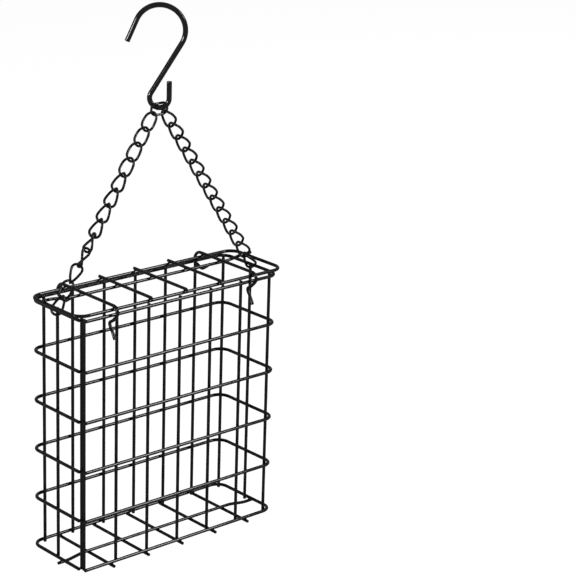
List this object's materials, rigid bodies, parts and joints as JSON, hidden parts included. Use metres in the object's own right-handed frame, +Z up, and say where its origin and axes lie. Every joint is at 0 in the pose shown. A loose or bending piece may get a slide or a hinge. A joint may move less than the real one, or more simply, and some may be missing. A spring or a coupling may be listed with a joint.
{
  "type": "suet feeder",
  "caption": "Hanging wire suet cage with a hinged, latching wire lid, hung by two legs of twisted chain from an S hook.",
  "frame": {"origin": "the inside of the hook's upper bend, where the feeder hangs", "axes": "+Z up along the hang line, +X along the cage's width, -Y to the front, where the lid's two latches are; the cage is 58 mm deep along Y"},
  "size_m": [0.152, 0.058, 0.3186],
  "materials": {
    "hook_black": "black dip-coated steel wire, satin gloss",
    "chain_black": "black painted steel chain, satin gloss",
    "cage_black": "black powder-coated welded steel wire, satin",
    "lid_black": "black powder-coated welded steel wire, satin"
  },
  "bodies": {
    "hook": {"s_hook": "hook_black"},
    "apex_link": {"apex_link": "chain_black"},
    "chain": {"left_link_01": "chain_black", "left_link_02": "chain_black", "left_link_03": "chain_black", "left_link_04": "chain_black", "left_link_05": "chain_black", "left_link_06": "chain_black", "left_link_07": "chain_black", "left_link_08": "chain_black", "left_link_09": "chain_black", "left_link_10": "chain_black", "left_link_11": "chain_black", "left_link_12": "chain_black", "left_end_link": "chain_black", "right_link_01": "chain_black", "right_link_02": "chain_black", "right_link_03": "chain_black", "right_link_04": "chain_black", "right_link_05": "chain_black", "right_link_06": "chain_black", "right_link_07": "chain_black", "right_link_08": "chain_black", "right_link_09": "chain_black", "right_link_10": "chain_black", "right_link_11": "chain_black", "right_link_12": "chain_black", "right_end_link": "chain_black"},
    "cage": {"rim_ring": "cage_black", "ring_2": "cage_black", "ring_3": "cage_black", "ring_4": "cage_black", "ring_5": "cage_black", "ring_6": "cage_black", "front_upright_1": "cage_black", "front_upright_2": "cage_black", "front_upright_3": "cage_black", "front_upright_4": "cage_black", "front_upright_5": "cage_black", "front_upright_6": "cage_black", "front_upright_7": "cage_black", "seam_upright": "cage_black", "back_upright_1": "cage_black", "back_upright_2": "cage_black", "back_upright_3": "cage_black", "back_upright_4": "cage_black", "back_upright_5": "cage_black", "back_upright_6": "cage_black", "back_upright_7": "cage_black", "left_upright": "cage_black", "right_upright": "cage_black", "floor_mat": "cage_black"},
    "lid": {"lid_frame": "lid_black", "lid_cross_wire_2": "lid_black", "lid_cross_wire_3": "lid_black", "lid_cross_wire_4": "lid_black", "lid_hinge_wire_left": "lid_black", "lid_hinge_wire_right": "lid_black", "lid_latch_left": "lid_black", "lid_latch_right": "lid_black"}
  },
  "joints": [
    {"name": "apex_swing", "type": "hinge", "parent": "hook", "child": "apex_link", "pos_m": [0, 0, -0.0513], "axis": [0.6691, 0.7431, 0], "range_deg": [-20, 20]},
    {"name": "chain_swing", "type": "hinge", "parent": "apex_link", "child": "chain", "pos_m": [0, 0, -0.06075], "axis": [1, 0, 0], "range_deg": [-15, 15]},
    {"name": "cage_tilt", "type": "hinge", "parent": "chain", "child": "cage", "pos_m": [0, 0, -0.16236], "axis": [1, 0, 0], "range_deg": [-5, 5]},
    {"name": "lid_hinge", "type": "hinge", "parent": "cage", "child": "lid", "pos_m": [0, 0.0248, -0.16236], "axis": [-1, 0, 0], "range_deg": [0, 30], "deforming": ["lid_latch_left", "lid_latch_right"]}
  ]
}
